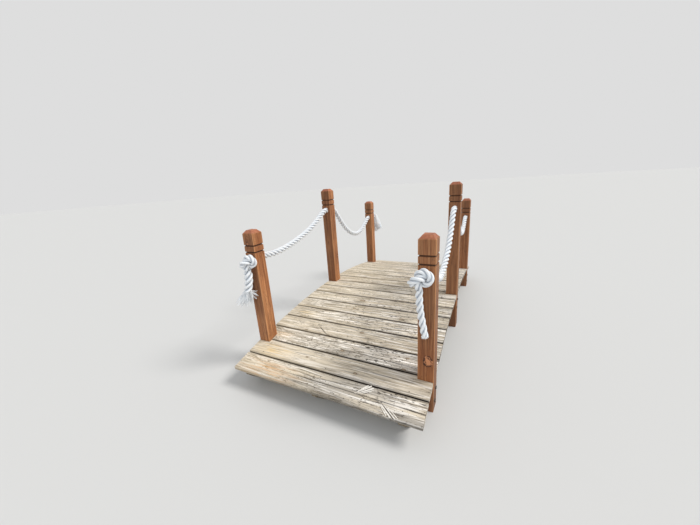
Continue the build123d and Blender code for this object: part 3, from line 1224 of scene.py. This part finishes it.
def post(side, station, finish):
    """A square post with grooves, a bevelled cap, drying cracks and the rope's hole."""
    chance = Random(f"{side}{station}")
    height = middle_post_height if station == "mid" else end_post_height
    shoulder = height - cap_height
    axis_x, axis_y = sides[side] * post_x, stations[station]
    faces = post_faces(side, chance, height)
    rings, shades = [], []
    for z, width in post_rows(height):
        arris = post_arris + arris_wander * ripple(z * 8, chance.random() * 0.01, 4)
        faces[0]["stain"] = near_face_shading(station, z, height)
        ring, shade = timber_ring(post_width, post_width, arris, faces, z, width / post_width)
        rings.append([Vector((axis_x + p.x, axis_y + p.y, z)) for p in ring])
        groove_shade = groove_shading(z, width, shoulder)
        shades.append([max(value, groove_shade) for value in shade])
    bore = hole_cutter(axis_x, axis_y, shoulder - hole_drop)
    mesh = cut(tidy_mesh(timber_mesh(rings, shades)), bore, "bored")
    heart = (chance.uniform(-0.012, 0.012), chance.uniform(-0.012, 0.012))
    upright = Matrix(((0, 0, 1, 0), (1, 0, 0, 0), (0, 1, 0, 0), (0, 0, 0, 1)))
    to_log = Matrix.Translation((chance.uniform(20, 60), *heart)) @ upright
    to_axis = Matrix.Translation((-axis_x, -axis_y, 0))
    lay_grain(mesh, to_log @ to_axis, chance.uniform(-0.1, 0.05), 0.0, 0.8)
    places = [vertex.co for vertex in mesh.vertices]
    # the cap: end grain that soaks up more, and its top painted as if sunlit
    store(mesh, "soaked", [ramp(place.z - shoulder, 0.006) for place in places])
    # painted highlight along the arrises, partly where the finish is worn thin
    edge = post_width / 2 - lit_arris_width
    store(mesh, "rubbed", [ramp(min(abs(p.x - axis_x), abs(p.y - axis_y)) - edge, 0.002) for p in places])
    name = f"post_{side}_{station}"
    return show(f"cedar_{name}", tidy_mesh(mesh, 28), finish, "stained_cedar", name)


# Ropes


def spline_points(route):
    """Points read from a smooth NURBS line with the route's points as its control points."""
    curve = bpy.data.curves.new("route", "CURVE")
    curve.dimensions = "3D"
    curve.resolution_u = 12
    line = curve.splines.new("NURBS")
    line.points.add(len(route) - 1)
    for point, place in zip(line.points, route):
        point.co = (*place, 1.0)
    line.order_u = 3
    line.use_endpoint_u = True
    source = loose_object("route", curve)
    mesh = bpy.data.meshes.new_from_object(source)
    bpy.data.objects.remove(source)
    return [vertex.co.copy() for vertex in mesh.vertices]


def line_mesh(points):
    mesh = bpy.data.meshes.new("line")
    mesh.from_pydata([tuple(point) for point in points], [(i, i + 1) for i in range(len(points) - 1)], [])
    return mesh


def length_of(points):
    return sum((b - a).length for a, b in zip(points, points[1:]))


def three_strand_tree():
    """Three strands laid round a line, right-handed. 'around', 'along' and 'crown' are for the finish."""
    tree, given = tree_with("three_strand_rope", {
        "Diameter": rope_diameter, "Lay Length": lay_length, "Start Turn": 0.0, "From": -1.0, "To": 100.0,
        "Loosened": 1.0, "Loose From": 0.0, "Finish": None,
    })
    rail = add(tree, "GeometryNodeMeshToCurve", "Curve", {"Mesh": given["Geometry"]})
    rail = add(tree, "GeometryNodeResampleCurve", "Curve", {"Curve": rail, "Length": 0.006}, mode="LENGTH")
    length = add(tree, "GeometryNodeSplineParameter", "Length")
    turn = length / given["Lay Length"] * (2 * pi) + given["Start Turn"]
    inputs = {"Curve": named(rail, "along", length), "Tilt": turn}
    rail = add(tree, "GeometryNodeSetCurveTilt", "Curve", inputs)
    loose = between(length - given["Loose From"], 0.0, 0.07)
    swelling = loose * (given["Loosened"] - 1.0) + 1.0
    place = add(tree, "GeometryNodeInputPosition", "Position")
    strand_radius, centre_radius = given["Diameter"] * 0.242, given["Diameter"] * 0.258
    strand = ring_curve(tree, 14, strand_radius)
    strand = named(strand, "around", place.calc("NORMALIZE"), "FLOAT_VECTOR")
    triangle = ring_curve(tree, 3, centre_radius)
    centres = add(tree, "GeometryNodeCurveToPoints", "Points", {"Curve": triangle}, mode="EVALUATED")
    crown = place.calc("LENGTH") / (given["Diameter"] * 0.5)
    strands = named(real(on_points(centres, strand)), "crown", crown)
    rope = swept(rail, strands, Scale=swelling)
    far = read(tree, "along")
    kept = far.calc("GREATER_THAN", given["From"]) * far.calc("LESS_THAN", given["To"])
    inputs = {"Geometry": rope, "Selection": kept}
    rope = add(tree, "GeometryNodeSeparateGeometry", "Selection", inputs, domain="FACE")
    return end_tree(tree, rope, given["Finish"])


def tassel_tree():
    """Loose yarns that hang from a rope's end: they start close together, spread and wander."""
    tree, given = tree_with("rope_tassel", {
        "Yarns": 60, "Root": 0.014, "Length": 0.08, "Splay": 0.05, "Waviness": 0.008, "Yarn Radius": 0.0011,
        "Seed": 1, "Finish": None,
    })
    points = add(tree, "GeometryNodePoints", "Points", {"Count": given["Yarns"]})
    square = {"Min": (-1, -1, 0), "Max": (1, 1, 0), "Seed": given["Seed"]}
    around = add(tree, "FunctionNodeRandomValue", 0, square, data_type="FLOAT_VECTOR")
    disc = around.calc("NORMALIZE") * around.calc("LENGTH").calc("MINIMUM", 1.0).calc("POWER", 0.7)
    inputs = {"Geometry": points, "Position": disc * given["Root"]}
    points = named(add(tree, "GeometryNodeSetPosition", "Geometry", inputs), "aim", disc, "FLOAT_VECTOR")
    lengths = {2: 0.62, 3: 1.0, "Seed": given["Seed"] + 7}
    points = named(points, "own_length", add(tree, "FunctionNodeRandomValue", 1, lengths, data_type="FLOAT"))
    line = add(tree, "GeometryNodeCurvePrimitiveLine", "Curve", {"Start": (0, 0, 0), "End": (0, 0, -1)})
    line = add(tree, "GeometryNodeResampleCurve", "Curve", {"Curve": line, "Count": 14})
    yarns = real(on_points(points, line))
    share = add(tree, "GeometryNodeSplineParameter", "Factor")
    aim = read(tree, "aim", "FLOAT_VECTOR")
    start = add(tree, "GeometryNodeInputPosition", "Position") * (1.0, 1.0, 0.0)
    drop = share * read(tree, "own_length") * given["Length"] * -1.0
    drop = add(tree, "ShaderNodeCombineXYZ", "Vector", {"Z": drop})
    flare = aim * (share.calc("POWER", 1.5) * given["Splay"])
    down = add(tree, "ShaderNodeCombineXYZ", "Vector", {"Z": share * 2.2})
    sway = cloudy(aim * (37.0, 41.0, 0.0) + down, detail=1.0, output="Color") - (0.5, 0.5, 0.5)
    sway = sway * (share * given["Waviness"] * 4.0)
    inputs = {"Geometry": yarns, "Position": (start + drop) + (flare + sway)}
    yarns = add(tree, "GeometryNodeSetPosition", "Geometry", inputs)
    tassel = swept(yarns, ring_curve(tree, 5, given["Yarn Radius"]))
    return end_tree(tree, tassel, given["Finish"])


def evened(points, count):
    """The same line with its points at even distances."""
    steps = np.linalg.norm(np.diff(points, axis=0), axis=1)
    travelled = np.concatenate([[0], np.cumsum(steps)])
    marks = np.linspace(0, travelled[-1], count)
    return np.stack([np.interp(marks, travelled, points[:, axis]) for axis in range(3)], 1)


def held_at_post(line):
    """Keeps a knot's neck in the hole and the rest of its line between the post's face and its reach."""
    neck = line[:, 1] < 0.010
    line[neck, 0] *= 0.3
    line[neck, 2] *= 0.3
    free = ~neck
    line[free, 1] = np.clip(line[free, 1], 0.0, knot_reach - rope_diameter / 2)
    clear = free & (np.hypot(line[:, 0], line[:, 2]) > 0.012)
    line[clear, 1] = np.maximum(line[clear, 1], rope_diameter / 2)


def pulled_tight(line, fixed_tail, closest, rounds=650, nodes=74):
    """Draws a loose knot tight against the post: the line shortens while its turns stay apart."""
    stiffness = 0.8
    line = evened(line, nodes)
    index = np.arange(nodes + len(fixed_tail))
    apart = np.abs(index[:, None] - index[None])
    for turn in range(rounds):
        if turn % 10 == 0:
            line = evened(line, nodes)
        step = np.linalg.norm(np.diff(line, axis=0), axis=1).mean()
        line[1:-1] += 0.2 * (line[:-2] + line[2:] - 2 * line[1:-1])
        wanted = np.minimum(closest, stiffness * apart * step) * (apart > 1)
        for _ in range(3):
            whole = np.vstack([line, fixed_tail])
            gaps = whole[:, None] - whole[None]
            distances = np.sqrt((gaps**2).sum(2)) + 1e-9
            short = np.maximum(wanted - distances, 0)
            touching = np.maximum((short > 1e-6).sum(1), 1)
            push = (gaps * (short / distances)[:, :, None]).sum(1) / np.sqrt(touching)[:, None] * 0.45
            line[1:-1] += push[1 : nodes - 1]
            held_at_post(line)
    return line


def knot_line(side, station):
    """The line of an overhand knot: across, outward from the post's face and up from the hole's axis."""
    turned, tightness, *slide = knot_ties[side, station]
    middle = knot_centres[side, station]
    loose_size = 0.034
    tail = np.array(tail_routes[side, station])
    angles = np.linspace(0.35, 2 * pi - 0.35, 60) + pi
    across = (np.sin(angles) + 2 * np.sin(2 * angles)) * loose_size
    up = (np.cos(angles) - 2 * np.cos(2 * angles)) * loose_size
    outward = 0.06 + 0.03 * np.sin(3 * angles)
    turned_across = across * cos(turned) - up * sin(turned) + middle[0]
    turned_up = across * sin(turned) + up * cos(turned) + middle[1]
    loose = np.stack([turned_across, outward, turned_up], 1)
    neck = np.array([(0, -0.030, 0), (0, 0.030, 0)])
    below = tail[0] + (tail[1] - tail[0]) * np.linspace(0.12, 1.0, 8)[:, None]
    line = pulled_tight(np.vstack([neck, loose, tail[:1]]), below, tightness * rope_diameter)
    to_tail = np.arange(len(line))[::-1]
    share = np.clip((line[:, 1] - 0.004) / 0.020, 0, 1) * np.clip(to_tail / 8, 0, 1)
    line[:, 0] += slide[0] * share
    line[:, 2] += slide[1] * share
    return line


def at_post(side, station, points):
    """From across, outward and up to the row frame."""
    outward = -1 if station == "near" else 1
    face_y = stations[station] + outward * post_width / 2
    return [Vector((sides[side] * post_x + a, face_y + outward * o, end_hole_z + u)) for a, o, u in points]


def tufts_on(side, station, points, tree, finish):
    """The frayed end of a rope: each tuft of yarns hangs its own way."""
    inside = 0.004
    run = (points[-1] - points[-4]).normalized()
    tufts = []
    for number, (sizes, lean, start) in enumerate(frayed_ends[side, station], 1):
        mesh = grown(bpy.data.meshes.new("start"), tree, dict(sizes, Finish=finish, Seed=7 * number))
        turn = (Vector(lean) if lean else run).to_track_quat("-Z", "Y").to_matrix().to_4x4()
        place = at_post(side, station, [start])[0] if start else points[-1] - run * inside
        mesh.transform(Matrix.Translation(place) @ turn)
        name = f"frayed_yarns_{side}_{station}_{number}"
        tufts.append(show(name, tidy_mesh(mesh, 60), finish, "white_rope"))
    return tufts


def laid_rope(points, tree, values):
    return tidy_mesh(grown(line_mesh(points), tree, values), 50)


def knot_and_tail(side, station, trees, finishes):
    """The knot against an end post and the tail that hangs from it, with its frayed end: gives the knot."""
    knot_controls = list(knot_line(side, station)[0:-1:3])
    whole = spline_points(at_post(side, station, knot_controls + tail_routes[side, station]))
    tail_z = end_hole_z - tail_drop
    cut_at = next(i for i in range(len(whole) - 1, 0, -1) if whole[i].z > tail_z)
    inner_length = length_of(whole[: cut_at + 1])
    laid = laid_lengths.get((side, station), 1.0)
    overlap = 0.003
    values = {
        "Finish": finishes["rope"], "Loosened": swollen_strand if laid < 1.0 else 1.0,
        "Loose From": inner_length - 0.03, "Diameter": knot_diameters[side],
    }
    knot_mesh = laid_rope(whole, trees["strands"], dict(values, To=inner_length + overlap))
    tail_ends = {"From": inner_length - overlap, "To": inner_length + laid}
    tail_mesh = laid_rope(whole, trees["strands"], {**values, **tail_ends})
    names = f"{side}_{station}"
    knot = show(f"overhand_knot_{names}", knot_mesh, finishes["rope"], "white_rope", f"knot_{names}")
    tail = show(f"hanging_tail_{names}", tail_mesh, finishes["rope"], "white_rope", f"rope_tail_{names}")
    points = whole[cut_at:]
    last = max(index for index in range(len(points)) if length_of(points[: index + 1]) <= laid)
    tufts = tufts_on(side, station, points[: last + 1], trees["tassels"], finishes["yarn"])
    if length_of(points) > cord_tail_length:
        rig.cord(
            tail, exit=points[0], length=length_of(points), diameter=rope_diameter, far_end="bare",
            stiffness="limp", lay="hanging", path=points, with_pieces=tufts,
        )
    return knot


def hang_rope(side, trees, finishes):
    """One side's rope from end post to end post, with its knots and tails."""
    points = spline_points([(sides[side] * post_x, y, z) for y, z in rope_routes[side]])
    values = {"Finish": finishes["rope"], "Start Turn": 0.4, "Diameter": span_diameters[side]}
    mesh = laid_rope(points, trees["strands"], values)
    rope = show(f"laid_rope_{side}", mesh, finishes["rope"], "white_rope", f"rope_{side}")
    knots = [knot_and_tail(side, station, trees, finishes) for station in ("near", "far")]
    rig.cord(
        rope, exit=points[0], length=length_of(points), diameter=rope_diameter, far_end="knot",
        stiffness="limp", lay="hanging", path=points, with_pieces=knots,
    )


# Fasteners


def extruded(mesh, **inputs):
    """A mesh with its faces, or the selected ones, pushed out, and the selection of what they became."""
    tree = mesh.tree
    inputs = {"Mesh": mesh, **{name.replace("_", " "): value for name, value in inputs.items()}}
    return add(tree, "GeometryNodeExtrudeMesh", ("Mesh", "Top"), inputs, mode="FACES")


def scaled(mesh, selection, scale):
    inputs = {"Geometry": mesh, "Selection": selection, "Scale": scale}
    return add(mesh.tree, "GeometryNodeScaleElements", "Geometry", inputs)


def fastener_tree(name, facets):
    """A round flat head with a recess, on each point of the base, turned at random."""
    tree, given = tree_with(name, {
        "Head Diameter": 0.008, "Head Height": 0.0012, "Recess": 0.4, "Seed": 1, "Finish": None,
    })
    inputs = {"Vertices": facets, "Radius": given["Head Diameter"] * 0.5}
    disc = add(tree, "GeometryNodeMeshCircle", "Mesh", inputs, fill_type="NGON")
    head, top = extruded(disc, Offset_Scale=given["Head Height"])
    head, top = extruded(scaled(head, top, 0.82), Selection=top, Offset_Scale=0.0)
    head = scaled(head, top, given["Recess"])
    head, _ = extruded(head, Selection=top, Offset_Scale=given["Head Height"] * -0.8)
    turns = {2: 0.0, 3: 2 * pi, "Seed": given["Seed"]}
    spin = add(tree, "FunctionNodeRandomValue", 1, turns, data_type="FLOAT")
    upward = {"Vector": read(tree, "upward", "FLOAT_VECTOR")}
    aimed = add(tree, "FunctionNodeAlignRotationToVector", "Rotation", upward, axis="Z")
    spun = add(tree, "FunctionNodeAxisAngleToRotation", "Rotation", {"Axis": (0, 0, 1), "Angle": spin})
    both = {"Rotation": aimed, "Rotate By": spun}
    turned = add(tree, "FunctionNodeRotateRotation", "Rotation", both, rotation_space="LOCAL")
    points = add(tree, "GeometryNodeMeshToPoints", "Points", {"Mesh": given["Geometry"]})
    return end_tree(tree, on_points(points, head, Rotation=turned), given["Finish"])


def heads_on(places, tree, values):
    """A head on each place, facing the way that is given with it."""
    base = bpy.data.meshes.new("places")
    base.from_pydata([tuple(place) for place, _ in places], [], [])
    upward = base.attributes.new("upward", "FLOAT_VECTOR", "POINT")
    upward.data.foreach_set("vector", [value for _, direction in places for value in direction])
    return tidy_mesh(grown(base, tree, values))


def deck_screws(tree, finish):
    """Two screws through each board into each stringer, sunk just below the surface."""
    chance = Random(5)
    places = []
    for number in range(1, board_count + 1):
        matrix = board_matrix(number)
        for x in screw_lines:
            for across in screw_rows:
                along_slip, across_slip = chance.uniform(-0.004, 0.004), chance.uniform(-0.006, 0.006)
                where = Vector((x + along_slip, across + across_slip, -screw_sunk))
                places.append((matrix @ where, matrix.to_3x3() @ Vector((0, 0, 1))))
    values = {"Head Diameter": 0.0085, "Head Height": 0.0012, "Finish": finish}
    return show("deck_screws", heads_on(places, tree, values), finish, "frame_timber")


def post_bolts(tree, finish):
    """Two bolts through each post into its stringer, with their heads on the outer face."""
    places = []
    for side in sides.values():
        for station, y in stations.items():
            for height, slip in zip(bolt_heights[station], bolt_slips):
                where = Vector((side * (post_x + post_width / 2 - 0.001), y + slip, height))
                places.append((where, Vector((side, 0, 0))))
    values = {"Head Diameter": 0.022, "Head Height": 0.006, "Recess": 0.3, "Finish": finish}
    return show("post_bolts", heads_on(places, tree, values), finish, "frame_timber")


# Light, floor and camera


def pale_floor():
    bm = bmesh.new()
    bmesh.ops.create_circle(bm, cap_ends=True, segments=96, radius=60)
    floor = loose_object("floor", mesh_of(bm))
    finish, tree = new_finish("pale_floor")
    shader = tree.nodes["Principled BSDF"]
    shader.inputs["Base Color"].default_value = paint(212, 213, 213)
    shader.inputs["Roughness"].default_value = 0.9
    shader.inputs["Specular IOR Level"].default_value = 0.1
    floor.data.materials.append(finish)
    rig.stage(floor)


def lamp(name, energy, softness, tint, direction):
    light = bpy.data.lights.new(name, "SUN")
    light.energy = energy
    light.angle = radians(softness)
    light.color = tint
    holder = loose_object(name, light)
    holder.rotation_euler = Vector(direction).to_track_quat("-Z", "Y").to_euler()


def studio():
    """Even soft light with a broad key from the right and behind, over a pale floor."""
    world = bpy.data.worlds.new("studio")
    bpy.context.scene.world = world
    world.use_nodes = True
    tree = world.node_tree
    background = tree.nodes["Background"]
    rays = ("Is Camera Ray", "Is Glossy Ray", "Is Transmission Ray")
    camera_ray, glossy_ray, transmission_ray = add(tree, "ShaderNodeLightPath", rays)
    seen = camera_ray.calc("MAXIMUM", glossy_ray).calc("MAXIMUM", transmission_ray)
    background.inputs["Color"].default_value = (1.0, 1.0, 1.0, 1)
    tree.links.new((seen * 0.17 + 0.56).output, background.inputs["Strength"])
    lamp("key", energy=1.98, softness=22, tint=(1.0, 0.97, 0.93), direction=(-2.8, -0.7, -3.4))
    lamp("fill", energy=0.72, softness=60, tint=(0.93, 0.97, 1.0), direction=(-0.5, 2.2, -1.1))
    pale_floor()


def camera():
    """The photograph's own camera, fitted to the posts, boards and arch."""
    eye = bpy.data.cameras.new("camera")
    eye.sensor_width = 36.0
    eye.lens = 14.4154
    eye.clip_start = 0.05
    eye.clip_end = 200
    holder = loose_object("camera", eye)
    holder.location = (0.84808, -2.37014, 1.27695)
    holder.rotation_euler = (radians(73.7871), radians(3.7389), radians(26.4137))
    bpy.context.scene.camera = holder


# The bridge

bpy.context.scene.view_settings.view_transform = "Standard"
camera()
studio()

pine = weathered_pine()
cedar = stained_cedar()
rope_finishes = {"rope": white_rope("white_rope", 5, 0.50), "yarn": white_rope("white_yarn", 1, 0.0)}
zinc = dull_zinc()

for number in range(1, board_count + 1):
    deck_board(number, pine)
show("torn_splinters", tidy_mesh(splinters(board_matrix(1)), 50), fresh_torn_wood(), "weathered_pine")

for side in sides:
    for station in stations:
        post(side, station, cedar)

frame_finishes = {
    "stringer": frame_timber("frame_timber_lengthwise", "Y"),
    "block": frame_timber("frame_timber_crosswise", "X"),
}
for name, node in frame["nodes"].items():
    kind = name.split("_")[0]
    if kind in frame_finishes:
        node.data.materials.clear()
        node.data.materials.append(frame_finishes[kind])

rope_trees = {"strands": three_strand_tree(), "tassels": tassel_tree()}
for side in sides:
    hang_rope(side, rope_trees, rope_finishes)

deck_screws(fastener_tree("recessed_screw_head", 12), zinc)
post_bolts(fastener_tree("bolt_head", 20), zinc)

with open("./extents.json", "w") as file:
    visual_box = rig.bounds()
    json.dump({"cad": [list(c) for c in cad_box], "visual": [list(c) for c in visual_box]}, file)
